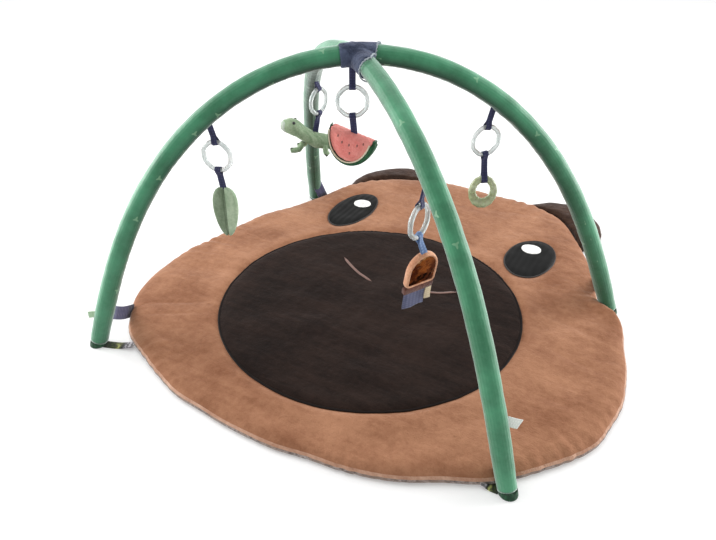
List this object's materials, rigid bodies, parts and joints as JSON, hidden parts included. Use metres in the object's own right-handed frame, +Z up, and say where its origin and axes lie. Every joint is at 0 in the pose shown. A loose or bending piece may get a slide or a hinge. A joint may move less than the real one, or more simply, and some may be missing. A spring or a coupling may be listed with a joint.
{
  "type": "baby play mat with toy arches",
  "caption": "Padded round floor mat with an animal's face, crossed padded arches and toys hung from them on link rings.",
  "frame": {"origin": "on the floor, on the mat's flat underside, straight under the arches' crossing", "axes": "+Z up, +Y towards the top of the animal's head, +X to the right of the face seen from above"},
  "size_m": [0.8915, 0.9434, 0.4962],
  "materials": {
    "brown_plush": "short velour pile",
    "dark_plush": "short velour pile",
    "eye_cloth": "satin stitched cloth",
    "white_cloth": "woven",
    "green_sleeve": "smooth printed cloth",
    "cap_cloth": "woven",
    "navy_webbing": "woven webbing",
    "patterned_ribbon": "woven ribbon",
    "clear_plastic": "clear gloss",
    "leaf_dark_cloth": "brushed cloth",
    "leaf_light_cloth": "brushed cloth",
    "lizard_plush": "short plush",
    "bead_black": "gloss",
    "melon_pink": "short plush",
    "melon_rind": "short plush",
    "lime_plastic": "translucent gloss",
    "tan_cloth": "short plush",
    "mirror_sheet": "mirror",
    "brown_cloth": "short plush",
    "lavender_cloth": "smooth cloth",
    "cream_cloth": "smooth cloth",
    "mint_cloth": "smooth cloth"
  },
  "bodies": {
    "root": {"mat": "brown_plush", "muzzle": "dark_plush", "eye_left": "eye_cloth", "eye_right": "eye_cloth", "glint_left": "white_cloth", "glint_right": "white_cloth", "ear_left": "dark_plush", "ear_right": "dark_plush", "hub_cover": "navy_webbing", "label": "white_cloth", "leg_tab": "mint_cloth", "leaf_dark": "leaf_dark_cloth", "leaf_light": "leaf_light_cloth", "melon_flesh": "melon_pink", "melon_rind": "melon_rind", "lizard_body": "lizard_plush", "lizard_fore_near": "lizard_plush", "lizard_fore_far": "lizard_plush", "lizard_hind_near": "lizard_plush", "lizard_hind_far": "lizard_plush", "lizard_eye_near": "bead_black", "lizard_eye_far": "bead_black", "teether": "lime_plastic", "mirror_frame": "tan_cloth", "mirror_plate": "mirror_sheet", "mirror_band": "brown_cloth", "mirror_flap": "lavender_cloth", "mirror_tab": "cream_cloth", "sleeve_left": "green_sleeve", "cap_left": "cap_cloth", "foot_strap_left": "navy_webbing", "foot_ribbon_left": "patterned_ribbon", "sleeve_right": "green_sleeve", "cap_right": "cap_cloth", "foot_strap_right": "navy_webbing", "foot_ribbon_right": "patterned_ribbon", "sleeve_front": "green_sleeve", "cap_front": "cap_cloth", "foot_strap_front": "navy_webbing", "foot_ribbon_front": "patterned_ribbon", "sleeve_back": "green_sleeve", "cap_back": "cap_cloth", "foot_strap_back": "navy_webbing", "foot_ribbon_back": "patterned_ribbon", "link_leaf": "clear_plastic", "loop_leaf": "navy_webbing", "toy_loop_leaf": "navy_webbing", "link_lizard": "clear_plastic", "loop_lizard": "navy_webbing", "toy_loop_lizard": "navy_webbing", "link_melon": "clear_plastic", "loop_melon": "navy_webbing", "toy_loop_melon": "navy_webbing", "link_teether": "clear_plastic", "loop_teether": "navy_webbing", "toy_loop_teether": "navy_webbing", "link_mirror": "clear_plastic", "loop_mirror": "navy_webbing", "toy_loop_mirror": "navy_webbing"}
  },
  "joints": []
}
